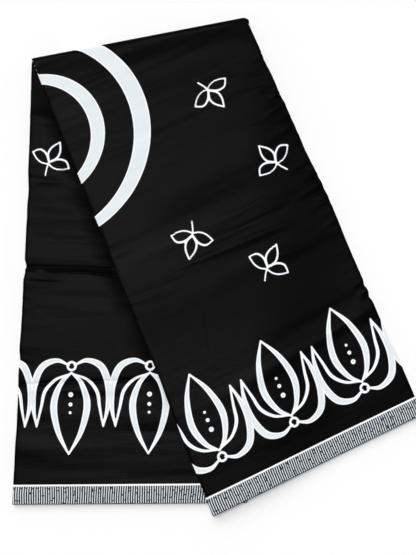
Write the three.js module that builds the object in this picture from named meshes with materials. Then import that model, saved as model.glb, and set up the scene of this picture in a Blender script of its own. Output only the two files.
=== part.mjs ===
// A length of wax print cotton, fan-folded into a long strip that is turned over on itself at a slant.
// Millimetres. It lies on z = 0. +X is right, +Y runs up the legs to the turn, +Z is up.
import * as THREE from "three";

// Driving sizes
const stripWidth = 282.5;
const legThickness = 6.3;
const wallThickness = 1.0;
const seamGap = 0.3;
// The turn's line rises to the right, and each leg leans away from the square of it.
const turnSlope = THREE.MathUtils.degToRad(10.9);
const legLean = THREE.MathUtils.degToRad(11.4);
// The left end of the turn's line, with the middle of the whole at the origin
const turnLeftEnd = new THREE.Vector2(-244.2, 264.3);
// The side folds of the cotton round over by this much, within this much of the edge.
const edgeDrop = 0.7;
const edgeReach = 6;
// Grooves between the bundles of hidden panels are this deep.
const grooveDepth = 1.6;
// Rows down a leg are no further apart than this.
const mostSpacing = 24;
// Beside the under leg, the over leg stays level for a little way and then comes down to the surface.
const drapeStart = 10;
const drapeReach = 52;
const turnSteps = 8;

// Each leg's cut end, as a distance from the turn's left end down its left and its right side
const underEnd = { left: 569, right: 564.5 };
const overEnd = { left: 628.5, right: 615 };

// The largest folds across each leg, measured down its two sides. A positive rise is a ridge.
const underFolds = [
  { left: 165, right: 186, reach: 12, rise: -0.7 },
  { left: 278, right: 282, reach: 6, rise: -1.5 },
  { left: 293, right: 300, reach: 8, rise: -0.9 },
  { left: 425, right: 412, reach: 7, rise: -1.2 },
  { left: 443, right: 436, reach: 10, rise: -0.6 },
];
const overFolds = [
  { left: 267, right: 246, reach: 21, rise: -1.4 },
  { left: 300, right: 292, reach: 11, rise: 0.8 },
  { left: 318, right: 312, reach: 7, rise: -0.7 },
  { left: 332, right: 334, reach: 7, rise: 0.6 },
  { left: 374, right: 386, reach: 30, rise: -1.2 },
  { left: 510, right: 474, reach: 14, rise: 0.8 },
];

// How far each bundle of hidden panels stands out at the strip's sides and at its cut end
const underBundles = [
  { left: 3.0, right: 1.2, end: -2.6 },
  { left: 0.8, right: 2.4, end: -1.4 },
  { left: 1.6, right: 0.4, end: -0.8 },
  { left: 0.2, right: 1.0, end: -0.3 },
];
const overBundles = [
  { left: 1.4, right: 0.6, end: 0.8 },
  { left: 2.2, right: 1.6, end: 0.2 },
  { left: 0.6, right: 0.2, end: 0.5 },
  { left: 1.0, right: 1.0, end: -0.2 },
];

const layersThickness = legThickness - wallThickness - seamGap;
const overBase = legThickness + seamGap;
const turnRadius = (overBase + legThickness) / 2;
const alongTurn = new THREE.Vector2(Math.cos(turnSlope), Math.sin(turnSlope));
const pastTurn = new THREE.Vector2(-alongTurn.y, alongTurn.x);

const underLeg = {
  lean: -1,
  base: 0,
  end: underEnd,
  folds: underFolds,
  bundles: underBundles,
  acrossCells: 6,
};
const overLeg = {
  lean: 1,
  base: overBase,
  end: overEnd,
  folds: overFolds,
  bundles: overBundles,
  acrossCells: 14,
};

const mix = THREE.MathUtils.lerp;
const smooth = (value) => THREE.MathUtils.smoothstep(value, 0, 1);

// A place in the turn's own plan, along its line and past it, as a place on the surface
function fromTurn(along, past) {
  return turnLeftEnd.clone().addScaledVector(alongTurn, along).addScaledVector(pastTurn, past);
}

// A place on a leg: across it from its left side, and down it from the turn's left end
function onLeg(leg, across, down) {
  const along = across * Math.cos(legLean) + leg.lean * down * Math.sin(legLean);
  const past = leg.lean * across * Math.sin(legLean) - down * Math.cos(legLean);
  return fromTurn(along, past);
}

// How far down the leg the turn's roll begins
function rollStart(leg, across) {
  return leg.lean * across * Math.tan(legLean) + turnRadius / Math.cos(legLean);
}

function endOf(leg, across) {
  return mix(leg.end.left, leg.end.right, across / stripWidth);
}

// How far a place lies outside the under leg's own outline
function outsideUnderLeg(place) {
  const from = place.clone().sub(turnLeftEnd);
  const along = from.dot(alongTurn);
  const past = from.dot(pastTurn);
  const across = along * Math.cos(legLean) - past * Math.sin(legLean);
  const down = -along * Math.sin(legLean) - past * Math.cos(legLean);
  const beside = Math.max(0, across - stripWidth);
  const beyond = Math.max(0, down - endOf(underLeg, across));
  return Math.hypot(beside, beyond);
}

// What a leg's underside rests on: the surface, or the under leg and the slope beside it
function restHeight(leg, place) {
  if (leg === underLeg) {
    return 0;
  }
  return leg.base * (1 - smooth((outsideUnderLeg(place) - drapeStart) / drapeReach));
}

// How far the strip's outer side rounds over, near its side folds
function edgeSink(across) {
  const edge = Math.min(across, stripWidth - across) / edgeReach;
  return edgeDrop * (1 - smooth(edge)) ** 2;
}

// How far the top of a leg lies below its full thickness, at its edges and folds
function sinkAt(leg, across, down) {
  let sink = edgeSink(across);
  for (const fold of leg.folds) {
    const middle = mix(fold.left, fold.right, across / stripWidth);
    const near = Math.abs(down - middle) / fold.reach;
    sink -= fold.rise * (1 - smooth(near));
  }
  return sink;
}

// Places across a leg: its rounded edges first, then even steps between them
function acrossStops(cells) {
  const stops = [0, edgeReach];
  for (let step = 1; step < cells - 1; step += 1) {
    stops.push(mix(edgeReach, stripWidth - edgeReach, step / (cells - 1)));
  }
  stops.push(stripWidth - edgeReach, stripWidth);
  return stops;
}

// Rows down a leg: the turn, three for each fold, the cut end, and even steps between those
function rowsOf(leg) {
  const fixed = [{ left: rollStart(leg, 0), right: rollStart(leg, stripWidth) }];
  for (const fold of leg.folds) {
    for (const side of [-1, 0, 1]) {
      fixed.push({ left: fold.left + side * fold.reach, right: fold.right + side * fold.reach });
    }
  }
  fixed.push(leg.end);
  const rows = [];
  for (let each = 0; each < fixed.length - 1; each += 1) {
    const here = fixed[each];
    const next = fixed[each + 1];
    const longest = Math.max(next.left - here.left, next.right - here.right);
    const steps = Math.ceil(longest / mostSpacing);
    for (let step = 0; step < steps; step += 1) {
      const part = step / steps;
      rows.push({ left: mix(here.left, next.left, part), right: mix(here.right, next.right, part) });
    }
  }
  rows.push(leg.end);
  return rows;
}

// One closed solid from a block of cells, of which only the outer skin is made.
// pointAt gives the place of a corner from its steps across, along and up.
function blockSolid(acrossCells, alongCells, upCells, pointAt) {
  const places = [];
  const faces = [];
  const known = new Map();
  const corner = (across, along, up) => {
    const key = `${across}/${along}/${up}`;
    if (!known.has(key)) {
      known.set(key, known.size);
      places.push(...pointAt(across, along, up).toArray());
    }
    return known.get(key);
  };
  const square = (a, b, c, d) => faces.push(a, b, c, a, c, d);
  for (let i = 0; i < acrossCells; i += 1) {
    for (let j = 0; j < alongCells; j += 1) {
      const top = (x, y) => corner(i + x, j + y, upCells);
      const under = (x, y) => corner(i + x, j + y, 0);
      square(top(0, 0), top(0, 1), top(1, 1), top(1, 0));
      square(under(0, 0), under(1, 0), under(1, 1), under(0, 1));
    }
  }
  for (let k = 0; k < upCells; k += 1) {
    for (let j = 0; j < alongCells; j += 1) {
      const left = (y, z) => corner(0, j + y, k + z);
      const right = (y, z) => corner(acrossCells, j + y, k + z);
      square(left(0, 0), left(1, 0), left(1, 1), left(0, 1));
      square(right(0, 0), right(0, 1), right(1, 1), right(1, 0));
    }
    for (let i = 0; i < acrossCells; i += 1) {
      const first = (x, z) => corner(i + x, 0, k + z);
      const last = (x, z) => corner(i + x, alongCells, k + z);
      square(first(0, 0), first(0, 1), first(1, 1), first(1, 0));
      square(last(0, 0), last(1, 0), last(1, 1), last(0, 1));
    }
  }
  const geometry = new THREE.BufferGeometry();
  geometry.setAttribute("position", new THREE.Float32BufferAttribute(places, 3));
  geometry.setIndex(faces);
  geometry.computeVertexNormals();
  return geometry;
}

// How far out the side of the stack stands at a step up: out at each bundle, in at the groove below it
function standOut(bundles, side, up) {
  if (up % 2 === 0) {
    const below = bundles[Math.max(0, up / 2 - 1)][side];
    const above = bundles[Math.min(bundles.length - 1, up / 2)][side];
    return Math.min(below, above) - grooveDepth;
  }
  return bundles[(up - 1) / 2][side];
}

// Across a leg, with the layered sides let out or in
function layeredAcross(leg, stops, i, up) {
  if (i === 0) {
    return -standOut(leg.bundles, "left", up);
  }
  if (i === stops.length - 1) {
    return stripWidth + standOut(leg.bundles, "right", up);
  }
  return stops[i];
}

// The hidden panels of a leg, as one solid
function legLayers(leg) {
  const stops = acrossStops(leg.acrossCells);
  const rows = rowsOf(leg);
  const upCells = leg.bundles.length * 2;
  return blockSolid(stops.length - 1, rows.length - 1, upCells, (i, j, up) => {
    const across = layeredAcross(leg, stops, i, up);
    let down = mix(rows[j].left, rows[j].right, stops[i] / stripWidth);
    if (j === 0) {
      down = rollStart(leg, across) + seamGap;
    }
    if (j === rows.length - 1) {
      down += standOut(leg.bundles, "end", up);
    }
    const place = onLeg(leg, across, down);
    const base = restHeight(leg, place);
    const top = layersThickness - sinkAt(leg, stops[i], down);
    return new THREE.Vector3(place.x, place.y, base + (top * up) / upCells);
  });
}

// The panel that shows on the under leg
function innerPanel() {
  const stops = acrossStops(underLeg.acrossCells);
  const rows = rowsOf(underLeg);
  return blockSolid(stops.length - 1, rows.length - 1, 1, (i, j, up) => {
    const down = mix(rows[j].left, rows[j].right, stops[i] / stripWidth) + (j === 0 ? seamGap : 0);
    const place = onLeg(underLeg, stops[i], down);
    const top = legThickness - sinkAt(underLeg, stops[i], down);
    return new THREE.Vector3(place.x, place.y, top - (1 - up) * wallThickness);
  });
}

// A place in the turn: across the strip, round the roll from the surface, and out from the roll's middle
function onTurn(across, round, radius) {
  const slide = turnRadius * Math.tan(legLean) * ((2 * round) / Math.PI - 1);
  const along = across / Math.cos(legLean) + slide;
  const past = -turnRadius + radius * Math.sin(round);
  const place = fromTurn(along, past);
  return new THREE.Vector3(place.x, place.y, turnRadius - radius * Math.cos(round));
}

// The edge's roundness, let in gradually from the under side of the turn
function turnSink(across, round) {
  return edgeSink(across) * smooth(round / Math.PI);
}

// The panel that shows on the over leg: it comes up round the turn and runs down the leg
function outerPanel() {
  const stops = acrossStops(overLeg.acrossCells);
  const rows = rowsOf(overLeg);
  const alongCells = turnSteps + rows.length - 1;
  return blockSolid(stops.length - 1, alongCells, 1, (i, j, up) => {
    if (j < turnSteps) {
      const round = (Math.PI * j) / turnSteps;
      const radius = turnRadius - (1 - up) * wallThickness - turnSink(stops[i], round);
      return onTurn(stops[i], round, radius);
    }
    const row = rows[j - turnSteps];
    const down = mix(row.left, row.right, stops[i] / stripWidth);
    const place = onLeg(overLeg, stops[i], down);
    const top = restHeight(overLeg, place) + legThickness - sinkAt(overLeg, stops[i], down);
    return new THREE.Vector3(place.x, place.y, top - (1 - up) * wallThickness);
  });
}

// Across the turn, where the under leg's lowest bundle becomes the over leg's highest one
function turnAcross(stops, i, up, upCells, part) {
  const under = layeredAcross(underLeg, stops, i, upCells - up);
  const over = layeredAcross(overLeg, stops, i, up);
  return mix(under, over, part);
}

// The hidden panels inside the turn, as one solid between the two legs' layers
function turnLayers() {
  const stops = acrossStops(overLeg.acrossCells);
  const upCells = overBundles.length * 2;
  const innermost = seamGap;
  const outermost = turnRadius - wallThickness - seamGap;
  return blockSolid(stops.length - 1, turnSteps, upCells, (i, j, up) => {
    const round = (Math.PI * j) / turnSteps;
    const across = turnAcross(stops, i, up, upCells, j / turnSteps);
    const reach = outermost - turnSink(stops[i], round);
    return onTurn(across, round, mix(innermost, reach, up / upCells));
  });
}

// The printed side of the cotton is glazed, and the hidden panels show only their duller folds.
const glazedCotton = { color: "#18191a", roughness: 0.5, metalness: 0 };
const foldedCotton = { color: "#1c1d21", roughness: 0.7, metalness: 0 };

function piece(name, geometry, finish) {
  const mesh = new THREE.Mesh(geometry, new THREE.MeshStandardMaterial(finish));
  mesh.name = name;
  return mesh;
}

const foldedLength = new THREE.Group();
foldedLength.add(
  piece("under_leg_layers", legLayers(underLeg), foldedCotton),
  piece("inner_panel", innerPanel(), glazedCotton),
  piece("turn_layers", turnLayers(), foldedCotton),
  piece("over_leg_layers", legLayers(overLeg), foldedCotton),
  piece("outer_panel", outerPanel(), glazedCotton),
);

export default foldedLength;
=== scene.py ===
import math
import bpy
import numpy as np
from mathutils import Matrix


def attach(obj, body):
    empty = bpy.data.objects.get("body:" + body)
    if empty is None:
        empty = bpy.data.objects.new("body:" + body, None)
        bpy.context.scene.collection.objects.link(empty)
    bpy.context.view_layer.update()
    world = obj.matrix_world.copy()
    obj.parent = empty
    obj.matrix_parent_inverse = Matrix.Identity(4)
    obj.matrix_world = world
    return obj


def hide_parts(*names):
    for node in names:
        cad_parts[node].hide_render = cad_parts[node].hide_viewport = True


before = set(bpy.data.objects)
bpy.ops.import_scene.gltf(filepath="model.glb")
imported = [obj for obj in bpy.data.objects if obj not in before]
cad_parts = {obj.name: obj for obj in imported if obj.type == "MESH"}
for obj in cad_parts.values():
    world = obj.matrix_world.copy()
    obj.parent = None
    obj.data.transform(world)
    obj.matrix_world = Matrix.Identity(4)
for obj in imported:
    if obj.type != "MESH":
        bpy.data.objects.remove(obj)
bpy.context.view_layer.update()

# A length of black and white wax print cotton, fan-folded into a strip and turned over at a slant.
# Lengths are in millimetres until a mesh, light or camera is made, and angles are in degrees.
metre = 0.001

strip = {
    "width": 282.5,
    "legThickness": 6.3,
    "panelThickness": 1.0,
    "gap": 0.3,  # between a panel and the layers beside it
    "turnSlope": 10.9,
    "legLean": 11.4,  # how far each leg leans from the square of the turn
    "turnLeftEnd": (-244.2, 264.3),
    "edgeDrop": 0.45,  # the faces round down to the side folds, over edgeReach
    "edgeReach": 4.0,
    "drapeReach": 130.0,  # over which the over leg falls to the surface
    "shoulderDrop": 1.5,  # the outer panel sinks where it comes off the turn
    "shoulderReach": 30.0,
    "bulgeLeft": -1.0,  # how far the turn stands out at its two ends
    "bulgeRight": 2.4,
    "cornerRound": 2.5,
    "cornerReach": 6.0,
    "pressedDrop": 4.2,  # the over leg's weight presses the under leg beside it
    "pressedReach": 28.0,
    "pressedStart": (10, 60),  # where down the leg it sets in, and over how much
    "pressedEase": (410, 70, 0.25),  # where it eases, over how much, and to what share
    "softLimit": 3.4,  # layers can only be pressed so far: the sink slows past here
    "hardLimit": 4.7,
    "sideReach": 40.0,  # how far in from its side fold a side's shape is felt
    "sideDrift": (0.35, 45),  # a slow wander of the side folds, and its length
}
width = strip["width"]
slope = math.radians(strip["turnSlope"])
lean = math.radians(strip["legLean"])
overBase = strip["legThickness"] + strip["gap"]
turnRadius = (overBase + strip["legThickness"]) / 2
layersThickness = strip["legThickness"] - strip["panelThickness"] - strip["gap"]

# How far the cut end of each leg lies from the turn's left end, down its two sides, how far apart
# its rows of corners are, and the deep folds, where they are closer
underLeg = {
    "name": "under",
    "lean": -1,
    "base": 0.0,
    "endLeft": 569.0,
    "endRight": 564.5,
    "rowStep": 1.9,
    "deepFolds": [(264, 300), (408, 432)],
}
overLeg = {
    "name": "over",
    "lean": 1,
    "base": overBase,
    "endLeft": 628.5,
    "endRight": 615.0,
    "rowStep": 1.7,
    "deepFolds": [],
}


def mix(start, end, part):
    return start + (end - start) * part


def smooth(part):
    held = np.clip(part, 0.0, 1.0)
    return held * held * (3.0 - 2.0 * held)


def fromTurn(along, past):
    x = strip["turnLeftEnd"][0] + along * math.cos(slope) - past * math.sin(slope)
    y = strip["turnLeftEnd"][1] + along * math.sin(slope) + past * math.cos(slope)
    return x, y


def onLeg(leg, across, down):
    along = across * math.cos(lean) + leg["lean"] * down * math.sin(lean)
    past = leg["lean"] * across * math.sin(lean) - down * math.cos(lean)
    return fromTurn(along, past)


def rollStart(leg, across):
    return leg["lean"] * across * math.tan(lean) + turnRadius / math.cos(lean)


def endOf(leg, across):
    return mix(leg["endLeft"], leg["endRight"], across / width)


def seenFromTurn(x, y):
    # the other way round from fromTurn
    fromX = x - strip["turnLeftEnd"][0]
    fromY = y - strip["turnLeftEnd"][1]
    along = fromX * math.cos(slope) + fromY * math.sin(slope)
    past = fromY * math.cos(slope) - fromX * math.sin(slope)
    return along, past


def outsideUnderLeg(x, y):
    along, past = seenFromTurn(x, y)
    across = along * math.cos(lean) - past * math.sin(lean)
    down = -along * math.sin(lean) - past * math.cos(lean)
    beside = np.maximum(0.0, across - width)
    beyond = np.maximum(0.0, down - endOf(underLeg, across))
    return np.hypot(beside, beyond)


def besideOverLeg(x, y):
    # how far a place lies to the left of the over leg's left side
    along, past = seenFromTurn(x, y)
    return -(along * math.cos(lean) + past * math.sin(lean))


def restHeight(leg, x, y):
    if leg is underLeg:
        return np.zeros_like(x)
    return leg["base"] * (1.0 - smooth(outsideUnderLeg(x, y) / strip["drapeReach"]))


def edgeSink(across):
    edge = np.minimum(across, width - across) / strip["edgeReach"]
    return strip["edgeDrop"] * (1.0 - smooth(edge)) ** 2


# Creases, listed one by one: where each starts and ends as (across, down), its half width, its
# height, and the share of it that dies away at each end
underCreases = {
    "innerCornerDip": ((0, 44), (40, 40), 6, -0.75, (0.0, 0.6)),
    "upperLip": ((-4, 80), (60, 86), 5, 0.33, (0.1, 0.6)),
    "upperLine": ((-4, 84), (34, 90), 3.5, -0.52, (0.1, 0.7)),
    "softDip": ((0, 120), (90, 112), 11, -0.45, (0.0, 0.6)),
    "highSwell": ((-4, 155), (90, 159), 8, 0.52, (0.0, 0.5)),
    "highCrease": ((-4, 164), (72, 170), 4.5, -0.90, (0.0, 0.5)),
    "highBlotch": ((30, 180), (90, 177), 9, -0.75, (0.4, 0.4)),
    "upperSwell": ((-4, 197), (110, 204), 7, 0.55, (0.0, 0.4)),
    "upperDip": ((-4, 212), (90, 215), 8, -0.7, (0.0, 0.5)),
    "narrowSwell": ((4, 231), (110, 236), 6, 0.5, (0.2, 0.3)),
    "narrowDip": ((10, 242), (120, 246), 5, -0.5, (0.3, 0.3)),
    "middleSwell": ((-4, 250), (140, 254), 10, 0.52, (0.0, 0.3)),
    "firstLip": ((-4, 266), (140, 269), 4.5, 0.55, (0.0, 0.2)),
    "firstFold": ((-4, 276.5), (285, 283), 3.4, -0.45, (0.0, 0.1)),
    "firstCrevice": ((-4, 277.5), (285, 283.5), 2.0, -1.1, (0.0, 0.1)),
    "betweenLip": ((0, 281.2), (90, 281.6), 1.7, 1.5, (0.05, 0.04)),
    "betweenLipAway": ((86, 281.4), (285, 304), 1.7, 1.5, (0.02, 0.1)),
    "secondCreviceLeft": ((-4, 278.6), (48, 284.6), 1.6, -1.2, (0.0, 0.4)),
    "secondCrevice": ((20, 283.0), (90, 284.2), 1.6, -1.2, (0.35, 0.05)),
    "secondCreviceAway": ((84, 284.2), (285, 308), 1.6, -1.4, (0.03, 0.1)),
    "lensDip": ((-2, 290), (74, 295), 4.6, -1.1, (0.2, 0.6)),
    "lensLip": ((10, 296), (60, 299), 2.2, 0.5, (0.2, 0.6)),
    "lowerSwell": ((-4, 304), (140, 306), 9, 0.68, (0.0, 0.3)),
    "broadDip": ((10, 346), (150, 345), 22, -1.05, (0.3, 0.2)),
    "broadSwell": ((-4, 322), (150, 327), 10, 0.38, (0.1, 0.4)),
    "sidePucker": ((-4, 396), (28, 406), 3.2, -0.75, (0.0, 0.7)),
    "sidePuckerLip": ((-4, 404), (26, 412), 3.0, 0.60, (0.0, 0.6)),
    "thirdFold": ((-4, 425), (285, 411), 6.0, -0.6, (0.0, 0.1)),
    "thirdCrevice": ((-4, 425.5), (285, 411.5), 1.9, -1.1, (0.0, 0.1)),
    "thirdLip": ((-4, 434), (120, 429), 5.0, 0.75, (0.05, 0.5)),
    "fourthDip": ((50, 443), (150, 437), 5.0, -0.75, (0.4, 0.5)),
    "lowLip": ((-4, 462), (40, 460), 6.0, 0.45, (0.0, 0.6)),
    "lowDip": ((-4, 476), (70, 467), 8.0, -0.83, (0.0, 0.6)),
    "lowSwell": ((-4, 504), (230, 502), 10.0, 0.33, (0.1, 0.3)),
    "endDip": ((-4, 528), (250, 525), 12.0, -0.33, (0.1, 0.3)),
}

overCreases = {
    "turnDip": ((60, 78), (285, 112), 16, -0.68, (0.4, 0.2)),
    "leftSwell": ((-4, 170), (120, 178), 26, 0.52, (0.0, 0.5)),
    "leftLine": ((20, 205), (96, 196), 5, -0.24, (0.4, 0.5)),
    "topSwell": ((150, 214), (285, 206), 16, 0.60, (0.5, 0.1)),
    "broadTrough": ((60, 263), (285, 246), 13, -1.88, (0.5, 0.0)),
    "ridge": ((-4, 304), (285, 290), 9, 1.12, (0.3, 0.1)),
    "ridgeLine": ((130, 300), (285, 284), 2.6, 0.38, (0.3, 0.2)),
    "underRidge": ((60, 321), (262, 311), 5, -0.90, (0.4, 0.2)),
    "secondRidge": ((30, 334), (246, 333), 4.5, 0.90, (0.4, 0.2)),
    "lineBelow": ((-4, 345), (120, 350), 4, -0.38, (0.1, 0.6)),
    "lineBelowLip": ((-4, 352), (100, 358), 3, 0.30, (0.1, 0.6)),
    "darkHollow": ((90, 380), (285, 388), 30, -1.65, (0.4, 0.0)),
    "shortRidge": ((175, 372), (262, 366), 5, 0.38, (0.5, 0.4)),
    "lowerRidge": ((30, 507), (285, 472), 9, 1.20, (0.4, 0.1)),
    "lowerRidgeLine": ((170, 489), (285, 470), 2.8, 0.38, (0.4, 0.1)),
    "lowerDip": ((120, 468), (285, 448), 8, -0.75, (0.5, 0.1)),
    "longFaintCrease": ((86, 385), (66, 462), 2.2, -0.18, (0.3, 0.3)),
    "endSwell": ((-4, 566), (285, 560), 16, 0.38, (0.1, 0.1)),
}

# Short puckers that run in from the over leg's right side fold, as (down, length, half width, height)
rightPuckers = [
    (119, 30, 4.0, -0.91), (133, 46, 4.5, -1.05), (148, 24, 3.5, 0.66), (160, 38, 3.8, -1.20),
    (169, 20, 2.6, 0.79), (177, 44, 3.2, -1.31), (186, 34, 2.6, 0.79), (195, 52, 3.0, -1.46),
    (205, 26, 2.6, -1.05), (215, 40, 3.4, 0.91), (226, 58, 3.6, -1.46), (238, 22, 2.6, 0.79),
    (264, 30, 2.8, 0.91), (273, 42, 3.0, -1.20), (284, 26, 2.6, 0.91), (293, 20, 2.4, -1.05),
    (301, 36, 2.8, 0.91), (309, 48, 3.0, -1.31), (318, 22, 2.4, 0.79), (330, 34, 3.4, -1.05),
    (352, 26, 3.0, 0.66), (404, 18, 3.0, -0.66), (441, 16, 2.6, -1.59), (449, 20, 2.8, 1.20),
    (457, 14, 2.4, -1.31), (486, 24, 3.2, -0.79),
]
puckerSlant = 0.12
for number, (down, length, reach, rise) in enumerate(rightPuckers):
    outerEnd = (width + 3, down - 2)
    innerEnd = (width - length, down + puckerSlant * length)
    overCreases["pucker%02d" % number] = (outerEnd, innerEnd, reach, rise, (0.0, 0.75))


def linesAt(across, down, lines):
    # the sum of soft lines: each is a Gaussian ridge or trough along its run
    total = np.zeros_like(across)
    for start, end, reach, rise, fade in lines.values():
        runAcross = end[0] - start[0]
        runDown = end[1] - start[1]
        length = math.hypot(runAcross, runDown)
        part = ((across - start[0]) * runAcross + (down - start[1]) * runDown) / length ** 2
        aside = ((across - start[0]) * runDown - (down - start[1]) * runAcross) / length
        strength = np.where((part > 0) & (part < 1), 1.0, 0.0)
        if fade[0] > 0:
            strength = strength * smooth(part / fade[0])
        if fade[1] > 0:
            strength = strength * smooth((1 - part) / fade[1])
        total += rise * strength * np.exp(-(aside / reach) ** 2)
    return total


# Where the glaze is duller (above 0) or brighter (below 0) than the rest, laid down as the creases are
overDulls = {
    "leftShine": ((-4, 70), (80, 76), 45, -0.7, (0.0, 0.6)),
    "belowTurn": ((70, 98), (250, 104), 16, 0.45, (0.3, 0.5)),
    "troughBand": ((30, 268), (290, 250), 17, 1.2, (0.35, 0.0)),
    "ridgeShine": ((-4, 300), (200, 292), 13, -0.5, (0.0, 0.5)),
    "broadBand": ((-4, 388), (290, 392), 36, 0.85, (0.05, 0.0)),
    "rightBand": ((140, 440), (290, 442), 20, 0.5, (0.5, 0.0)),
    "lowShine": ((-4, 486), (190, 482), 20, -0.5, (0.0, 0.4)),
    "rightDull": ((268, 90), (268, 345), 32, 0.6, (0.25, 0.2)),
    "endShine": ((-4, 560), (120, 556), 30, -0.6, (0.0, 0.6)),
}
underDulls = {
    "foldShade": ((4, 277), (285, 283), 3.0, 0.8, (0.3, 0.1)),
    "topBand": ((-4, 26), (50, 30), 40, 1.9, (0.0, 0.3)),
    "broadBand": ((-4, 372), (200, 366), 20, 0.6, (0.0, 0.0)),
    "lowShine": ((-4, 506), (260, 498), 26, -0.55, (0.1, 0.1)),
}


def softNoise(u, v, seed):
    # value noise from a table of random heights, from -1 to 1
    size = 64
    table = np.random.default_rng(seed).uniform(-1, 1, (size, size))
    lowU = np.floor(u).astype(int)
    lowV = np.floor(v).astype(int)
    partU = smooth(u - lowU)
    partV = smooth(v - lowV)
    thisU, nextU = lowU % size, (lowU + 1) % size
    thisV, nextV = lowV % size, (lowV + 1) % size
    near = mix(table[thisU, thisV], table[nextU, thisV], partU)
    far = mix(table[thisU, nextV], table[nextU, nextV], partU)
    return mix(near, far, partV)


# Soft waves that run across each leg, too many to place by hand. Each is a noise with a cell so long
# across and down the leg. skew turns its run, patchy lets it come and go, edge keeps it within so far
# of one side and span between two places down it, and calm is where it quietens, and to what share.
overWaves = [
    {"cell": (120, 18), "rise": 0.75, "skew": 0.08, "patchy": True, "calm": (345, 0.35)},
    {"cell": (60, 8), "rise": 0.28, "skew": 0.06, "patchy": True, "calm": (335, 0.3)},
    {"cell": (34, 4.2), "rise": 0.10, "skew": 0.03, "patchy": True, "calm": (335, 0.5)},
    {"cell": (26, 4.6), "rise": 0.95, "skew": -0.10, "edge": (282.5, 22), "span": (100, 345)},
    {"cell": (26, 5.5), "rise": 0.30, "skew": 0.02, "edge": (282.5, 14), "span": (340, 520)},
    {"cell": (22, 5.5), "rise": 0.20, "skew": 0.12, "edge": (0.0, 12), "span": (60, 560)},
]
underWaves = [
    {"cell": (120, 21), "rise": 0.85, "skew": 0.0, "patchy": True},
    {"cell": (80, 9), "rise": 0.34, "skew": 0.03, "patchy": True},
    {"cell": (34, 4.2), "rise": 0.08, "skew": 0.03, "patchy": True},
    {"cell": (24, 5.0), "rise": 0.40, "skew": -0.05, "edge": (0.0, 18), "span": (60, 480)},
]


waveLook = {
    "patchCell": (90, 55),
    "patchStrength": (0.8, 0.6),  # on average, and how far it swings
    "calmReach": 60,
    "spanFade": 30,
    "firstSeed": {"over": 50, "under": 70},
}


def waveHeight(leg, across, down):
    height = np.zeros_like(across)
    patchAcross, patchDown = waveLook["patchCell"]
    average, swing = waveLook["patchStrength"]
    fade = waveLook["spanFade"]
    for number, wave in enumerate(overWaves if leg is overLeg else underWaves):
        seed = number + waveLook["firstSeed"][leg["name"]]
        along = (down + wave["skew"] * across) / wave["cell"][1] + 5
        strength = wave["rise"]
        if wave.get("patchy"):
            patch = softNoise(across / patchAcross + 9, down / patchDown + 9, seed + 7)
            strength = strength * (average + swing * patch)
        if "calm" in wave:
            place, share = wave["calm"]
            strength = strength * mix(1.0, share, smooth((down - place) / waveLook["calmReach"]))
        if "edge" in wave:
            place, reach = wave["edge"]
            first, last = wave["span"]
            strength = strength * np.exp(-np.abs(across - place) / reach)
            strength = strength * smooth((down - first) / fade) * smooth((last - down) / fade)
        height += strength * softNoise(across / wave["cell"][0] + 5, along, seed)
    return height


def topSink(leg, across, down):
    # how far the outer face lies below the leg's full thickness
    sink = edgeSink(across)
    if leg is overLeg:
        pastRoll = down - rollStart(leg, across)
        sink = sink + strip["shoulderDrop"] * (1.0 - smooth(pastRoll / strip["shoulderReach"]))
        sink = sink - linesAt(across, down, overCreases)
    else:
        beside = np.clip(besideOverLeg(*onLeg(leg, across, down)) / strip["pressedReach"], 0.0, 1.0)
        first, setIn = strip["pressedStart"]
        last, ease, share = strip["pressedEase"]
        pressed = smooth((down - first) / setIn) * mix(1.0, share, smooth((down - last) / ease))
        sink = sink + strip["pressedDrop"] * (1.0 - beside) ** 2 * pressed
        sink = sink - linesAt(across, down, underCreases)
    sink = sink - waveHeight(leg, across, down)
    room = strip["hardLimit"] - strip["softLimit"]
    slowed = strip["softLimit"] + room * np.tanh((sink - strip["softLimit"]) / room)
    return np.where(sink > strip["softLimit"], slowed, sink)


# Where a side fold is nipped in or stands out, as (down, reach, out)
sideShapes = {
    "underLeft": [
        (90, 60, -1.0), (180, 12, -1.0), (235, 110, -2.4), (276, 5, -2.2), (286, 5, -1.2), (340, 50, -0.8),
        (396, 8, -1.4), (470, 60, -1.0),
    ],
    "underRight": [(120, 40, 0.6), (280, 8, -1.4), (420, 8, -1.0)],
    "overLeft": [(110, 40, 0.8), (260, 20, -0.9), (318, 14, 0.5), (420, 60, -0.8), (560, 30, 0.7)],
    "overRight": [
        (80, 80, -2.6), (120, 8, -0.8), (166, 9, -0.7), (258, 16, -0.8), (335, 70, 2.2), (441, 4, -1.4),
        (457, 4, -1.6), (540, 30, 0.6),
    ],
}


def sideShift(shapes, down, seed):
    size, cell = strip["sideDrift"]
    shift = size * softNoise(down / cell + 7, np.zeros_like(down) + seed, seed)
    for middle, reach, out in shapes:
        shift = shift + out * np.exp(-((down - middle) / reach) ** 2)
    return shift


def shapedAcross(leg, across, down):
    # lets the side folds in and out by their own shapes, and leaves the middle where it is
    left = sideShift(sideShapes[leg["name"] + "Left"], down, 21)
    right = sideShift(sideShapes[leg["name"] + "Right"], down, 22)
    nearLeft = 1.0 - smooth(across / strip["sideReach"])
    nearRight = 1.0 - smooth((width - across) / strip["sideReach"])
    return across - left * nearLeft + right * nearRight


def legPlace(leg, across, down, depth, thickness, lift):
    # depth is measured down from the piece's outer face. A panel keeps its thickness, and layers,
    # given with theirs, are pressed together where the panel above them sinks.
    shaped = shapedAcross(leg, across, down)
    x, y = onLeg(leg, shaped, down)
    inside = np.clip(across, 0.0, width)
    top = lift - topSink(leg, inside, down)
    if thickness is None:
        z = top - depth
    else:
        z = top * (1.0 - depth / thickness)
    return np.stack([x, y, restHeight(leg, x, y) + z], axis=-1)


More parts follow.
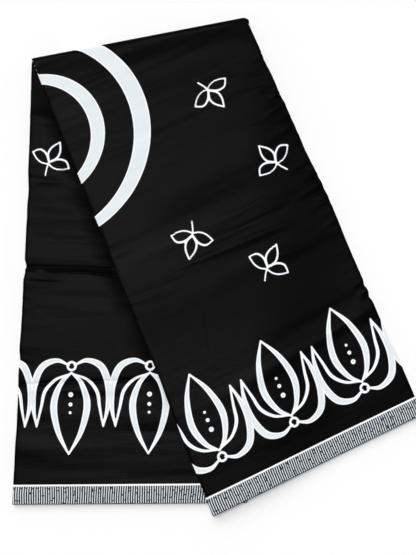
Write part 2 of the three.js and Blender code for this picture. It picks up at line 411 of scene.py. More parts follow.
def turnPlace(across, turned, inward):
    # turned is the angle round the roll, from 0 on the surface to pi on the over leg
    slide = turnRadius * math.tan(lean) * (2 * turned / math.pi - 1)
    along = across / math.cos(lean) + slide
    inside = np.clip(across, 0.0, width)
    sink = edgeSink(inside) * smooth(turned / math.pi)
    sink = sink + strip["shoulderDrop"] * smooth((turned - math.pi / 2) / (math.pi / 2))
    radius = turnRadius - inward - sink
    corner = 1.0 - smooth((width - inside) / strip["cornerReach"])
    past = -turnRadius + radius * np.sin(turned)
    past = past + mix(strip["bulgeLeft"], strip["bulgeRight"], inside / width) * np.sin(turned)
    past = past - strip["cornerRound"] * corner ** 2 * np.sin(turned)
    x, y = fromTurn(along, past)
    z = turnRadius - radius * np.cos(turned)
    return np.stack([x, y, z], axis=-1)


def zipStrips(first, second):
    # joins two rows of corners that run the same way, of any two lengths
    faces = []
    i = 0
    j = 0
    spent = 9.0  # past any share of a row, for a row that is used up
    while i < len(first) - 1 or j < len(second) - 1:
        nextFirst = (i + 1) / (len(first) - 1) if i < len(first) - 1 else spent
        nextSecond = (j + 1) / (len(second) - 1) if j < len(second) - 1 else spent
        if nextFirst <= nextSecond:
            faces.append((first[i], second[j], first[i + 1]))
            i += 1
        else:
            faces.append((first[i], second[j], second[j + 1]))
            j += 1
    return faces


def meshPiece(name, points, faces, cloth, printAt, dulled):
    mesh = bpy.data.meshes.new(name)
    mesh.from_pydata((points * metre).tolist(), [], faces)
    onCloth = {
        "clothAcross": cloth[:, 0],
        "fromEnd": cloth[:, 1],
        "printDistance": printAt,
        "dulled": dulled,
    }
    for key, values in onCloth.items():
        layer = mesh.attributes.new(key, "FLOAT", "POINT")
        layer.data.foreach_set("value", np.ascontiguousarray(values, dtype=np.float32))
    mesh.polygons.foreach_set("use_smooth", [True] * len(mesh.polygons))
    mesh.set_sharp_from_angle(angle=math.radians(50))
    mesh.validate()
    piece = bpy.data.objects.new(name, mesh)
    bpy.context.scene.collection.objects.link(piece)
    return piece


def stackPiece(name, spec, place, clothAt, printOf, dulledAt):
    # A closed stack: rings round it, row by row, with a wall of lines, one for each depth, at each end
    top, bottom, ends, depths = spec["top"], spec["bottom"], spec["ends"], spec["depths"]
    rowCount = spec["rows"]
    last = len(depths) - 1
    inner = np.arange(1, last)
    rowNumbers = np.arange(rowCount)
    right = np.stack([width + spec["out"]("right", k, rowNumbers) for k in inner], axis=-1)
    left = np.stack([-spec["out"]("left", k, rowNumbers) for k in inner[::-1]], axis=-1)
    upper = np.tile(top, (rowCount, 1))
    lower = np.tile(bottom[::-1], (rowCount, 1))
    across = np.concatenate([upper, right, lower, left], axis=1)
    ringSize = across.shape[1]
    ringDepths = np.concatenate([
        np.full(len(top), depths[0]),
        np.take(depths, inner),
        np.full(len(bottom), depths[last]),
        np.take(depths, inner[::-1]),
    ])
    allAcross = [across.ravel()]
    allRows = [np.repeat(rowNumbers, ringSize)]
    allDepths = [np.tile(ringDepths, rowCount)]
    allPulls = [np.zeros(across.size)]

    ring = np.arange(ringSize)
    here = ring[None, :] + ringSize * np.arange(rowCount - 1)[:, None]
    beside = (ring[None, :] + 1) % ringSize + ringSize * np.arange(rowCount - 1)[:, None]
    quads = np.stack([here, here + ringSize, beside + ringSize, beside], axis=-1)
    faces = quads.reshape(-1, 4).tolist()

    made = across.size
    for row, end in ((0, "first"), (rowCount - 1, "last")):
        base = row * ringSize
        lines = [list(range(base, base + len(top)))]
        for k in inner:
            between = np.asarray(ends[1:-1], dtype=float)
            allAcross.append(between)
            allRows.append(np.full(len(between), row))
            allDepths.append(np.full(len(between), depths[k]))
            allPulls.append(spec["pull"](end, k, between))
            rightPoint = base + len(top) + k - 1
            leftPoint = base + ringSize - k
            lines.append([leftPoint] + list(range(made, made + len(between))) + [rightPoint])
            made += len(between)
        firstBelow = base + len(top) + last - 1
        lines.append(list(range(firstBelow, firstBelow + len(bottom)))[::-1])
        for k in range(last):
            wall = zipStrips(lines[k], lines[k + 1])
            if end == "first":
                wall = [face[::-1] for face in wall]
            faces += wall
    across = np.concatenate(allAcross)
    rows = np.concatenate(allRows)
    depth = np.concatenate(allDepths)
    pull = np.concatenate(allPulls)
    points = place(across, rows, depth, pull)
    cloth = clothAt(across, rows, depth, pull)
    printAt = printOf(cloth[:, 0], cloth[:, 1])
    dulled = dulledAt(cloth[:, 0], cloth[:, 1])
    return meshPiece(name, points, faces, cloth, printAt, dulled)


# The print: a border of tulips with leaves above each selvedge, small sprigs, and two broad rings.
# Brush strokes are (across, up) points with a half width at each, in millimetres.
tulip = {
    "petal": [((0, 20), 1.0), ((13, 34), 2.9), ((20.5, 60), 4.2), ((14, 92), 3.1), ((0, 119), 0.9)],
    "leafBelow": [
        ((3, 11), 0.9), ((19, 5), 2.7), ((37, 13), 4.2), ((46, 36), 4.1), ((46, 62), 2.7), ((41, 86), 0.9),
    ],
    "leafAbove": [
        ((41, 86), 0.9), ((36, 62), 1.7), ((32, 43), 2.1), ((20, 29), 1.7), ((3, 22), 1.0),
    ],
}
stamens = [((0, 47), 3.0), ((0, 59), 2.4), ((0, 69), 1.8)]
tulipRing = {"up": 12, "radius": 5, "half": 1.4}
sprig = {
    "stem": [((3, -4), 1.0), ((0.5, 6), 1.0), ((0, 14), 1.0)],
    "topLeaf": [((0, 14), 1.0), ((6.5, 23), 1.3), ((6, 33), 1.2), ((0, 44), 1.0)],
    "sideLeafOver": [((0, 13), 1.0), ((9, 22), 1.3), ((19, 24), 1.2), ((27, 17), 1.0)],
    "sideLeafUnder": [((27, 17), 1.0), ((18, 11), 1.0), ((9, 9), 1.0), ((0, 11), 1.0)],
}
# The border's repeat, where its first tulip stands on each leg and how far up from the cut end, and
# the white rule above the selvedge's stripes
printPlan = {
    "repeat": 97.0,
    "overFirst": 36.0,
    "overBase": 47.0,
    "underFirst": 66.0,
    "underBase": 178.0,
    "rule": (21.2, 23.3),
}
farFromPrint = 20.0


def curveThrough(knots, steps):
    # a Catmull-Rom curve through the knots, with the half widths carried along
    rows = np.array([[place[0], place[1], half] for place, half in knots], dtype=float)
    padded = np.vstack([2 * rows[0] - rows[1], rows, 2 * rows[-1] - rows[-2]])
    found = []
    for i in range(len(rows) - 1):
        a, b, c, d = padded[i:i + 4]
        for step in range(steps):
            t = step / steps
            bend = (2 * a - 5 * b + 4 * c - d) * t ** 2 + (3 * b - a - 3 * c + d) * t ** 3
            found.append(0.5 * (2 * b + (c - a) * t + bend))
    found.append(rows[-1])
    return np.array(found)


def strokeDistance(field, across, up, line):
    # lowers the field to the distance from the edge of a brush stroke, negative inside it
    reach = 12.0  # further off than this, the print's edge can't be seen
    lowAcross, lowUp = line[:, 0].min() - reach, line[:, 1].min() - reach
    highAcross, highUp = line[:, 0].max() + reach, line[:, 1].max() + reach
    near = np.nonzero((across > lowAcross) & (across < highAcross) & (up > lowUp) & (up < highUp))[0]
    if not len(near):
        return
    px, py = across[near], up[near]
    best = np.full(len(near), 99.0)
    for a, b in zip(line[:-1], line[1:]):
        runX, runY = b[0] - a[0], b[1] - a[1]
        part = np.clip(((px - a[0]) * runX + (py - a[1]) * runY) / max(runX ** 2 + runY ** 2, 1e-9), 0, 1)
        away = np.hypot(px - a[0] - part * runX, py - a[1] - part * runY)
        best = np.minimum(best, away - mix(a[2], b[2], part))
    field[near] = np.minimum(field[near], best)


def placedLine(line, middle, base, turned, mirrored, flip):
    # moves a stroke to its place: mirrored across, turned, and upright or hanging
    x = -line[:, 0] if mirrored else line[:, 0]
    y = line[:, 1]
    angle = math.radians(turned)
    movedX = x * math.cos(angle) - y * math.sin(angle)
    movedY = x * math.sin(angle) + y * math.cos(angle)
    return np.stack([middle + movedX, base + flip * movedY, line[:, 2]], axis=-1)


def drawTulip(field, across, up, middle, base, flip):
    for name, knots in tulip.items():
        line = curveThrough(knots, 7)
        for mirrored in (False, True):
            strokeDistance(field, across, up, placedLine(line, middle, base, 0, mirrored, flip))
    for place, radius in stamens:
        dot = np.array([[place[0], place[1], radius], [place[0] + 0.1, place[1], radius]])
        strokeDistance(field, across, up, placedLine(dot, middle, base, 0, False, flip))
    radius = tulipRing["radius"]
    ringKnots = []
    for angle in np.linspace(0, 2 * math.pi, 13):
        place = (radius * math.sin(angle), tulipRing["up"] - radius * math.cos(angle))
        ringKnots.append((place, tulipRing["half"]))
    strokeDistance(field, across, up, placedLine(curveThrough(ringKnots, 2), middle, base, 0, False, flip))


def drawSprig(field, across, up, middle, base, turned):
    for name, knots in sprig.items():
        line = curveThrough(knots, 6)
        for mirrored in (False, True):
            if name == "stem" and mirrored:
                continue
            strokeDistance(field, across, up, placedLine(line, middle, base, turned, mirrored, 1))


def drawRing(field, across, up, ring):
    # a broad arc whose brush swells towards its middle
    angles = np.radians(np.linspace(ring["from"], ring["to"], 40))
    x = ring["middle"][0] + ring["radius"] * np.cos(angles)
    y = ring["middle"][1] + ring["radius"] * np.sin(angles)
    half = ring["half"] * (0.45 + 0.55 * np.sin(np.linspace(0.15, math.pi - 0.15, 40)))
    strokeDistance(field, across, up, np.stack([x, y, half], axis=-1))


overRings = [
    {"middle": (-30, 522), "radius": 78, "half": 9.5, "from": -88, "to": 88},
    {"middle": (-30, 522), "radius": 136, "half": 11.5, "from": -84, "to": 84},
]
# White print that shows only where a side fold turns under, as (across, from, to)
foldDashes = [
    (-0.6, 629, 631), (-0.6, 621, 622), (-0.6, 614.5, 615), (-0.6, 608, 608.6), (-0.6, 602, 602.6),
    (283, 503, 505), (283, 443, 444.5),
]
# Each sprig's middle across, its height above the cut end, and how far it is turned
overSprigs = [(192, 500, 200), (246, 352, 24), (112, 334, 150), (168, 236, 315)]
underSprigs = [(22, 415, 335), (150, 330, 20), (120, 430, 250), (230, 410, 330), (210, 262, 60)]


def borderAndSprigs(across, fromEnd, leg, sprigs, flip):
    field = np.full(len(across), farFromPrint)
    for number in range(-1, 4):
        middle = printPlan[leg["name"] + "First"] + number * printPlan["repeat"]
        drawTulip(field, across, fromEnd, middle, printPlan[leg["name"] + "Base"], flip)
    for middle, height, turned in sprigs:
        drawSprig(field, across, fromEnd, middle, height, turned)
    return field


def overPrint(across, fromEnd):
    field = borderAndSprigs(across, fromEnd, overLeg, overSprigs, 1)
    for side, low, high in foldDashes:
        strokeDistance(field, across, fromEnd, np.array([[side, low, 0.7], [side, high, 0.7]]))
    for ring in overRings:
        drawRing(field, across, fromEnd, ring)
    return field


def underPrint(across, fromEnd):
    return borderAndSprigs(across, fromEnd, underLeg, underSprigs, -1)


def plainPrint(across, fromEnd):
    return np.full(len(across), farFromPrint)


def underDulled(across, fromEnd):
    return linesAt(across, endOf(underLeg, across) - fromEnd, underDulls)


def overDulled(across, fromEnd):
    return linesAt(across, endOf(overLeg, across) - fromEnd, overDulls)


def evenGlaze(across, fromEnd):
    return np.zeros(len(across))


# The panels that show
panelBuild = {
    "columns": 208,
    "backColumns": 24,
    "borderLength": 205.0,
    "borderStep": 1.35,
    "foldStep": 0.9,
    "lastStep": 0.8,
    "turnRows": 18,
    "depths": [0.0, 0.3, 0.42, 0.58, 0.7, 1.0],
    "foldRadius": 0.5,
    "endRecess": 1.2,
}


def panelRows(leg):
    # rows from the turn to the cut end, closer together over the deep folds and in the border
    start = (float(rollStart(leg, 0)), float(rollStart(leg, width)))
    end = (leg["endLeft"], leg["endRight"])
    length = min(end[0] - start[0], end[1] - start[1])
    downs = [0.0]
    while downs[-1] < length - panelBuild["lastStep"]:
        down = downs[-1] + start[0]
        step = leg["rowStep"]
        if length - downs[-1] < panelBuild["borderLength"]:
            step = panelBuild["borderStep"]
        for first, last in leg["deepFolds"]:
            if first < down < last:
                step = panelBuild["foldStep"]
        downs.append(downs[-1] + step)
    parts = np.array(downs) / downs[-1]
    return np.stack([mix(start[0], end[0], parts), mix(start[1], end[1], parts)], axis=-1)


def foldOut(side, k, rows):
    # the round of a side fold
    radius = panelBuild["foldRadius"]
    depth = panelBuild["depths"][k]
    return np.full(len(rows), math.sqrt(max(0.0, radius ** 2 - (radius - depth) ** 2)))


def panelPull(end, k, across):
    # at its cut end the panel shows as two layers of cotton, with a groove between them
    if end == "first" or k in (1, 4):
        return np.zeros_like(across)
    return np.zeros_like(across) - panelBuild["endRecess"]


def panelSpec(rowCount):
    return {
        "top": np.linspace(0, width, panelBuild["columns"]),
        "bottom": np.linspace(0, width, panelBuild["backColumns"]),
        "ends": np.linspace(0, width, panelBuild["columns"]),
        "depths": panelBuild["depths"],
        "rows": rowCount,
        "out": foldOut,
        "pull": panelPull,
    }


def makeInnerPanel():
    rowEnds = panelRows(underLeg)

    def downAt(across, rows, pull):
        down = mix(rowEnds[rows, 0], rowEnds[rows, 1], across / width) + pull
        return down + np.where(rows == 0, strip["gap"], 0.0)

    def place(across, rows, depth, pull):
        return legPlace(underLeg, across, downAt(across, rows, pull), depth, None, strip["legThickness"])

    def clothAt(across, rows, depth, pull):
        fromEnd = endOf(underLeg, across) - downAt(across, rows, pull)
        return np.stack([across, fromEnd], axis=-1)

    return stackPiece("innerPanel", panelSpec(len(rowEnds)), place, clothAt, underPrint, underDulled)


def makeOuterPanel():
    rowEnds = panelRows(overLeg)
    turnRows = panelBuild["turnRows"]

    def downAt(across, rows, pull):
        onLegRows = np.maximum(rows - turnRows, 0)
        return mix(rowEnds[onLegRows, 0], rowEnds[onLegRows, 1], across / width) + pull

    def place(across, rows, depth, pull):
        turned = math.pi * np.minimum(rows / turnRows, 1.0)
        onTurn = turnPlace(across, turned, depth)
        past = legPlace(overLeg, across, downAt(across, rows, pull), depth, None, strip["legThickness"])
        return np.where((rows < turnRows)[:, None], onTurn, past)

    def clothAt(across, rows, depth, pull):
        roundTurn = np.maximum(turnRows - rows, 0) / turnRows * math.pi * turnRadius / math.cos(lean)
        fromEnd = endOf(overLeg, across) - downAt(across, rows, pull) + roundTurn
        return np.stack([across, fromEnd], axis=-1)

    spec = panelSpec(turnRows + len(rowEnds))
    return stackPiece("outerPanel", spec, place, clothAt, overPrint, overDulled)


# The hidden panels, which show only as folds at the sides and as edges at the cut ends
layersBuild = {
    "folds": 8,
    "stepsPerFold": 4,
    "foldBulge": 0.5,
    "grooveDepth": 0.9,  # between one fold and the next
    "foldDrift": (0.7, 80),  # a slow wander of each fold, and its length
    "sideInset": 0.6,
    "rowStep": 3.0,
    "endColumns": 120,
    "backColumns": 24,
    "turnRows": 14,
    "turnDown": 10.0,
    "turnFromEnd": 400.0,  # far enough from the cut end to be plain black
    "endGroove": 2.3,  # between one cut edge and the next
    "endDrift": (0.5, 50),
    "endInset": 0.4,
}
# How far each fold stands out, from the highest to the lowest
foldStand = {
    "underLeft": [-0.6, 0.1, -0.3, 0.5, 0.0, 0.9, 0.4, 1.1],
    "underRight": [0.2, 0.7, 0.0, 0.5, 1.0, 0.3, 0.8, 0.5],
    "overLeft": [-0.2, 0.5, -0.1, 0.8, 0.4, 1.0, 0.2, 0.6],
    "overRight": [-0.3, 0.3, 0.6, 0.0, 0.5, -0.2, 0.6, 0.2],
}
# How far each layer's cut edge stands past the panel above, from the highest to the lowest
edgeStand = {
    "under": [
        -0.3, 0.1, -0.8, -0.4, -1.1, -0.6, -1.6, -1.2, -0.9, -1.9, -1.4, -2.2, -1.7, -2.5, -2.1, -2.8,
    ],
    "over": [-0.4, 0.2, -0.9, 0.3, -0.5, 0.6, -0.2, 0.8, 0.1, 0.9, -0.3, 0.7, 0.2, 1.0, 0.4, 0.8],
}


def layerDepths():
    count = layersBuild["folds"] * layersBuild["stepsPerFold"]
    return [layersThickness * k / count for k in range(count + 1)]


def layersOut(name, downOf):
    # each fold's round, with its own stand and a slow drift along the leg
    steps = layersBuild["stepsPerFold"]
    size, cell = layersBuild["foldDrift"]

    def out(side, k, rows):
        fold = k // steps
        within = k % steps
        stand = foldStand[name + side.capitalize()]
        down = downOf(rows)
        if within == 0:
            return np.full(len(rows), min(stand[fold - 1], stand[fold]) - layersBuild["grooveDepth"])
        drift = size * softNoise(down / cell + fold * 3.7, np.zeros_like(down) + fold + 0.5, 31)
        bulge = layersBuild["foldBulge"] * math.sin(math.pi * within / steps)
        return stand[fold] + drift + bulge - layersBuild["foldBulge"]

    return out


def layersPull(name):
    def pull(end, k, across):
        if end == "first":
            return np.zeros_like(across)
        if k % 2 == 0:
            return np.zeros_like(across) - layersBuild["endGroove"]
        stand = edgeStand[name][(k - 1) // 2]
        size, cell = layersBuild["endDrift"]
        return stand + size * softNoise(across / cell + k * 1.3, np.zeros_like(across) + k, 41)

    return pull


def noPull(end, k, across):
    return np.zeros_like(across)


def layersSpec(rowCount, out, pull):
    inset = layersBuild["sideInset"]
    face = np.linspace(inset, width - inset, layersBuild["backColumns"])
    return {
        "top": face,
        "bottom": face,
        "ends": np.linspace(0, width, layersBuild["endColumns"]),
        "depths": layerDepths(),
        "rows": rowCount,
        "out": out,
        "pull": pull,
    }


def makeLegLayers(leg):
    inset = layersBuild["endInset"]
    start = (float(rollStart(leg, 0)) + strip["gap"], float(rollStart(leg, width)) + strip["gap"])
    end = (leg["endLeft"] - inset, leg["endRight"] - inset)
    rowCount = int((end[0] - start[0]) / layersBuild["rowStep"])

    def downAt(across, rows, pull):
        part = rows / (rowCount - 1)
        inside = np.clip(across, 0, width)
        letOut = np.where(rows == 0, leg["lean"] * (across - inside) * math.tan(lean), 0.0)
        down = mix(mix(start[0], end[0], part), mix(start[1], end[1], part), inside / width)
        return down + pull + letOut

    def place(across, rows, depth, pull):
        return legPlace(leg, across, downAt(across, rows, pull), depth, layersThickness, layersThickness)

    def clothAt(across, rows, depth, pull):
        return np.stack([across, endOf(leg, across) - downAt(across, rows, pull)], axis=-1)

    def downOf(rows):
        return mix(start[0], end[0], rows / (rowCount - 1))

    spec = layersSpec(rowCount, layersOut(leg["name"], downOf), layersPull(leg["name"]))
    return stackPiece(leg["name"] + "LegLayers", spec, place, clothAt, plainPrint, evenGlaze)


def turnPlaceSpread(across, turned, inward, share):
    # the shoulder's sink is spread through the stack, so that the innermost layer keeps its place
    full = turnPlace(across, turned, 0.0)
    core = turnPlace(across, turned, turnRadius)
    outerReach = np.linalg.norm(full - core, axis=-1, keepdims=True)
    share = np.asarray(share)[:, None]
    wanted = (turnRadius - inward)[:, None] * (1.0 - (1.0 - outerReach / turnRadius) * (1.0 - share))
    return core + (full - core) / np.maximum(outerReach, 1e-6) * wanted


def makeTurnLayers():
    rowCount = layersBuild["turnRows"] + 1
    innermost = strip["gap"]
    outermost = turnRadius - strip["panelThickness"] - strip["gap"]

    def nearTurn(rows):
        return np.full(len(rows), layersBuild["turnDown"])

    underOut = layersOut("under", nearTurn)
    overOut = layersOut("over", nearTurn)
    steps = layersBuild["folds"] * layersBuild["stepsPerFold"]

    def out(side, k, rows):
        return mix(underOut(side, steps - k, rows), overOut(side, k, rows), rows / (rowCount - 1))

    def place(across, rows, depth, pull):
        share = depth / layersThickness
        inward = turnRadius - mix(outermost, innermost, share)
        return turnPlaceSpread(across, math.pi * rows / (rowCount - 1), inward, share)

    def clothAt(across, rows, depth, pull):
        return np.stack([across, np.full_like(across, layersBuild["turnFromEnd"])], axis=-1)

    spec = layersSpec(rowCount, out, noPull)
    return stackPiece("turnLayers", spec, place, clothAt, plainPrint, evenGlaze)


print("wax print cloth: building the panels that show")
innerPanel = makeInnerPanel()
outerPanel = makeOuterPanel()
print("wax print cloth: building the folded layers")
underLegLayers = makeLegLayers(underLeg)
overLegLayers = makeLegLayers(overLeg)
turnLayers = makeTurnLayers()


# Materials
def toLinear(code):
    values = [int(code[i:i + 2], 16) / 255 for i in (1, 3, 5)]
    return tuple(v / 12.92 if v <= 0.04045 else ((v + 0.055) / 1.055) ** 2.4 for v in values) + (1.0,)


def addNode(tree, kind, settings=None, inputs=None):
    # adds a node with its settings, and links or sets its inputs
    node = tree.nodes.new(kind)
    for key, value in (settings or {}).items():
        setattr(node, key, value)
    for key, value in (inputs or {}).items():
        if isinstance(value, bpy.types.NodeSocket):
            tree.links.new(value, node.inputs[key])
        else:
            node.inputs[key].default_value = value
    return node


cottonLook = {
    "black": "#040404",
    # the black a little lighter, a painted sheen along the slubs
    "blackSlubSheen": "#070708",
    "white": "#dfe6ea",
    "whiteRim": "#f4f6fa",
    "rimDepth": (-1.9, -1.0),
    "printSoftness": 0.25,
    "selvedgeDark": "#191e33",
    "stripePitch": 2.8,
    "whiteShare": 0.375,
    "stripeSoftness": 0.16,
    "stripeLean": 3.0,
    "speckNoise": (0.72, 0.78),
    "speckDark": 0.9,
    "edgeLine": 0.7,
    "threadSpacing": 0.85,
    "slubRelief": 3.0,
    "wrinkleRelief": 4.5,
    "reliefStrength": 0.5,
    "reliefDepth": 0.04,
    "slubNoise": (0.3, 0.7),
    "slubRough": (0.355, 0.30),
    "roughAlong": (-0.01, 0.02),
    "alongSpan": (0.0, 620.0),
    "dullRough": 0.1,
    "specular": 0.0275,
    # noises on the cloth: a cell's size across and along it, then the detail and its strength
    "slubs": ((20.0, 4 / 3), 3.0, 0.65),
    "wrinkles": ((25.0, 10 / 3), 1.0, 0.5),
    "leaning": ((62.5, 28.5714), 0.0, 0.5),
    "speckle": ((2.2222, 2.9412), 0.0, 0.5),
}
# at the folds and cut edges the glaze is broken, so they are duller
foldedLook = dict(cottonLook, slubRough=(0.7, 0.56), specular=0.045)


def glazedWaxPrintCotton(name, look, hasPrint):
    # Plain-woven cotton, resist-printed with wax and calendered: a deep black with a soft shine
    material = bpy.data.materials.new(name)
    material.use_nodes = True
    tree = material.node_tree
    tree.nodes.clear()
    mathNode = "ShaderNodeMath"
    rangeNode = "ShaderNodeMapRange"
    mixNode = "ShaderNodeMix"
    plus = {"operation": "ADD"}
    times = {"operation": "MULTIPLY"}
    timesAndAdd = {"operation": "MULTIPLY_ADD"}
    sine = {"operation": "SINE"}
    below = {"operation": "LESS_THAN"}
    above = {"operation": "GREATER_THAN"}
    softStep = {"interpolation_type": "SMOOTHSTEP"}
    colours = {"data_type": "RGBA"}  # of such a mix, 6 and 7 are the colours and output 2 the result
    shades = {}
    for key in ("black", "blackSlubSheen", "white", "whiteRim", "selvedgeDark"):
        shades[key] = toLinear(look[key])

    stored = {}
    for key in ("clothAcross", "fromEnd", "printDistance", "dulled"):
        stored[key] = addNode(tree, "ShaderNodeAttribute", {"attribute_name": key}).outputs["Fac"]
    across = stored["clothAcross"]
    fromEnd = stored["fromEnd"]
    clothPlace = addNode(tree, "ShaderNodeCombineXYZ", {}, {"X": across, "Y": fromEnd}).outputs["Vector"]

    # slubs are thicker weft threads, 15 to 40 mm long, that catch the light across the strip,
    # and wrinkles are short and shallow ones, too fine for the mesh
    noises = {}
    for key in ("slubs", "wrinkles", "leaning", "speckle"):
        cell, detail, strength = look[key]
        scaling = {"Vector": clothPlace, "Scale": (1 / cell[0], 1 / cell[1], 1.0)}
        scaled = addNode(tree, "ShaderNodeMapping", {"vector_type": "POINT"}, scaling).outputs["Vector"]
        shape = {"Vector": scaled, "Scale": 1.0, "Detail": detail, "Roughness": strength}
        noises[key] = addNode(tree, "ShaderNodeTexNoise", {"noise_dimensions": "2D"}, shape).outputs["Fac"]

    # threads: real ones are 0.28 mm apart, too fine to show, so they are drawn three times as coarse
    perThread = 2 * math.pi / look["threadSpacing"]
    warp = addNode(tree, mathNode, times, {0: across, 1: perThread}).outputs[0]
    weft = addNode(tree, mathNode, times, {0: fromEnd, 1: perThread}).outputs[0]
    warpWave = addNode(tree, mathNode, sine, {0: warp}).outputs[0]
    weftWave = addNode(tree, mathNode, sine, {0: weft}).outputs[0]
    weave = addNode(tree, mathNode, times, {0: warpWave, 1: weftWave}).outputs[0]
    withSlubs = {0: noises["slubs"], 1: look["slubRelief"], 2: weave}
    threads = addNode(tree, mathNode, timesAndAdd, withSlubs).outputs[0]
    withWrinkles = {0: noises["wrinkles"], 1: look["wrinkleRelief"], 2: threads}
    relief = addNode(tree, mathNode, timesAndAdd, withWrinkles).outputs[0]
    depth = look["reliefDepth"] * metre
    raised = {"Height": relief, "Strength": look["reliefStrength"], "Distance": depth}
    bump = addNode(tree, "ShaderNodeBump", {}, raised).outputs["Normal"]

    # black ground, a little lighter along the slubs: painted sheen where they catch the light
    ground = {0: noises["slubs"], 6: shades["black"], 7: shades["blackSlubSheen"]}
    colour = addNode(tree, mixNode, colours, ground).outputs[2]
    if hasPrint:
        # the resist print: white where the wax kept the dye out, purest along its rim
        printAt = stored["printDistance"]
        inward = {"Value": printAt, "From Min": look["rimDepth"][0], "From Max": look["rimDepth"][1]}
        rim = addNode(tree, rangeNode, softStep, inward).outputs["Result"]
        whites = {0: rim, 6: shades["white"], 7: shades["whiteRim"]}
        white = addNode(tree, mixNode, colours, whites).outputs[2]
        edge = {"Value": printAt, "From Min": look["printSoftness"], "From Max": -look["printSoftness"]}
        waxed = addNode(tree, rangeNode, softStep, edge).outputs["Result"]
        colour = addNode(tree, mixNode, colours, {0: waxed, 6: colour, 7: white}).outputs[2]

    # the selvedge: fine stripes at right angles to the edge, leaning a little, with dark specks
    swayed = {0: noises["leaning"], 1: look["stripeLean"], 2: across}
    leant = addNode(tree, mathNode, timesAndAdd, swayed).outputs[0]
    halfPitch = look["stripePitch"] / 2
    stripe = addNode(tree, mathNode, {"operation": "PINGPONG"}, {0: leant, 1: halfPitch}).outputs[0]
    speckRange = {
        "Value": noises["speckle"],
        "From Min": look["speckNoise"][0],
        "From Max": look["speckNoise"][1],
        "To Max": look["speckDark"],
    }
    specks = addNode(tree, rangeNode, softStep, speckRange).outputs["Result"]
    darkened = addNode(tree, mathNode, plus, {0: stripe, 1: specks}).outputs[0]
    barEdge = halfPitch * look["whiteShare"]
    soft = look["stripeSoftness"]
    barRange = {"Value": darkened, "From Min": barEdge - soft, "From Max": barEdge + soft}
    bars = addNode(tree, rangeNode, softStep, barRange).outputs["Result"]
    striped = {0: bars, 6: shades["white"], 7: shades["selvedgeDark"]}
    selvedge = addNode(tree, mixNode, colours, striped).outputs[2]
    # its white rule above, and the dark line along the cloth's very edge
    inRule = addNode(tree, mathNode, above, {0: fromEnd, 1: printPlan["rule"][0]}).outputs[0]
    ruled = {0: inRule, 6: selvedge, 7: shades["whiteRim"]}
    selvedge = addNode(tree, mixNode, colours, ruled).outputs[2]
    atEdge = addNode(tree, mathNode, below, {0: fromEnd, 1: look["edgeLine"]}).outputs[0]
    edged = {0: atEdge, 6: selvedge, 7: shades["selvedgeDark"]}
    selvedge = addNode(tree, mixNode, colours, edged).outputs[2]
    inSelvedge = addNode(tree, mathNode, below, {0: fromEnd, 1: printPlan["rule"][1]}).outputs[0]
    colour = addNode(tree, mixNode, colours, {0: inSelvedge, 6: colour, 7: selvedge}).outputs[2]

    # the glaze: smoother on the slubs and towards the selvedges, and worn duller here and there
    parts = []
    for value, fromRange, toRange in (
        (noises["slubs"], look["slubNoise"], look["slubRough"]),
        (fromEnd, look["alongSpan"], look["roughAlong"]),
    ):
        mapping = {
            "Value": value,
            "From Min": fromRange[0],
            "From Max": fromRange[1],
            "To Min": toRange[0],
            "To Max": toRange[1],
        }
        parts.append(addNode(tree, rangeNode, {}, mapping).outputs["Result"])
    evenRough = addNode(tree, mathNode, plus, {0: parts[0], 1: parts[1]}).outputs[0]
    worn = {0: stored["dulled"], 1: look["dullRough"], 2: evenRough}
    rough = addNode(tree, mathNode, dict(timesAndAdd, use_clamp=True), worn).outputs[0]
    surface = {
        "Base Color": colour,
        "Roughness": rough,
        "Normal": bump,
        "Specular IOR Level": look["specular"],
    }
    shader = addNode(tree, "ShaderNodeBsdfPrincipled", {}, surface)
    addNode(tree, "ShaderNodeOutputMaterial", {}, {"Surface": shader.outputs["BSDF"]})
    return material


print("wax print cloth: materials")
printedCotton = glazedWaxPrintCotton("calenderedWaxPrintCotton", cottonLook, True)
foldedCotton = glazedWaxPrintCotton("foldedWaxPrintCotton", foldedLook, False)

for piece, material, slot, node in (
    (innerPanel, printedCotton, "printed_cotton", "inner_panel"),
    (outerPanel, printedCotton, "printed_cotton", "outer_panel"),
    (underLegLayers, foldedCotton, "folded_cotton", "under_leg_layers"),
    (overLegLayers, foldedCotton, "folded_cotton", "over_leg_layers"),
    (turnLayers, foldedCotton, "folded_cotton", "turn_layers"),
):
    piece.data.materials.append(material)
    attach(piece, "root")
    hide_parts(node)


# Floor, lights and camera
stageLook = {
    "floorSize": 40000.0,
    "floorDrop": 0.3,
    "floorColour": "#f7f7f7",
    # pale low down, all round, and dimmer overhead. from and to are sines of the height in the sky.
    "sky": {"low": 0.8, "high": 0.12, "from": 0.1, "to": 0.4},
    # a broad softbox, far off, from the top of the page and a little to the left
    "softbox": {"offVertical": 13.0, "bearing": 35.0, "spread": 26.0, "strength": 2.0, "shines": True},
    # a wider, dimmer light from the top, which gives the soft shadow under the lower edges, and
    # doesn't show in the gloss
    "topFill": {"offVertical": 45.0, "bearing": 20.0, "spread": 50.0, "strength": 1.3, "shines": False},
}
cameraLook = {
    "lens": 50.0,
    "sensor": 36.0,
    "tilt": 8.3,
    "distance": 971.2,
    "lookAt": (-12.8, -27.3, 6.3),
}


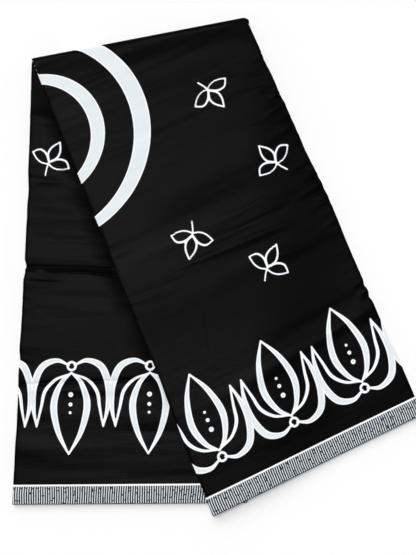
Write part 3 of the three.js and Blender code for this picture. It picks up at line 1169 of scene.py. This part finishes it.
def makeFloor():
    half = stageLook["floorSize"] / 2 * metre
    drop = -stageLook["floorDrop"] * metre
    mesh = bpy.data.meshes.new("paleFloor")
    corners = [(-half, -half, drop), (half, -half, drop), (half, half, drop), (-half, half, drop)]
    mesh.from_pydata(corners, [], [(0, 1, 2, 3)])
    floor = bpy.data.objects.new("paleFloor", mesh)
    bpy.context.scene.collection.objects.link(floor)
    paper = bpy.data.materials.new("mattePaperSweep")
    paper.use_nodes = True
    shader = paper.node_tree.nodes["Principled BSDF"]
    shader.inputs["Base Color"].default_value = toLinear(stageLook["floorColour"])
    shader.inputs["Roughness"].default_value = 0.9
    shader.inputs["Specular IOR Level"].default_value = 0.1
    floor.data.materials.append(paper)


def makeLights():
    for name in ("softbox", "topFill"):
        look = stageLook[name]
        data = bpy.data.lights.new(name, "SUN")
        data.energy = look["strength"]
        data.angle = math.radians(look["spread"])
        lamp = bpy.data.objects.new(name, data)
        lamp.rotation_euler = (-math.radians(look["offVertical"]), 0.0, math.radians(look["bearing"]))
        lamp.visible_glossy = look["shines"]
        bpy.context.scene.collection.objects.link(lamp)
    world = bpy.data.worlds.new("studioWhite")
    world.use_nodes = True
    background = world.node_tree.nodes["Background"]
    background.inputs["Color"].default_value = (1.0, 1.0, 1.0, 1.0)
    sky = stageLook["sky"]
    tree = world.node_tree
    place = addNode(tree, "ShaderNodeTexCoord").outputs["Generated"]
    height = addNode(tree, "ShaderNodeSeparateXYZ", {}, {"Vector": place}).outputs["Z"]
    shadeRange = {
        "Value": height,
        "From Min": sky["from"],
        "From Max": sky["to"],
        "To Min": sky["low"],
        "To Max": sky["high"],
    }
    shade = addNode(tree, "ShaderNodeMapRange", {"interpolation_type": "SMOOTHSTEP"}, shadeRange)
    tree.links.new(shade.outputs["Result"], background.inputs["Strength"])
    bpy.context.scene.world = world


def makeCamera():
    data = bpy.data.cameras.new("photoCamera")
    data.lens = cameraLook["lens"]
    data.sensor_width = cameraLook["sensor"]
    camera = bpy.data.objects.new("photoCamera", data)
    tilt = math.radians(cameraLook["tilt"])
    x, y, z = cameraLook["lookAt"]
    back = cameraLook["distance"]
    behind = y - back * math.sin(tilt)
    above = z + back * math.cos(tilt)
    camera.location = (x * metre, behind * metre, above * metre)
    camera.rotation_euler = (tilt, 0.0, 0.0)
    bpy.context.scene.collection.objects.link(camera)
    bpy.context.scene.camera = camera


print("wax print cloth: floor, lights and camera")
makeFloor()
makeLights()
makeCamera()
bpy.context.scene.view_settings.view_transform = "Standard"

print("wax print cloth: done")
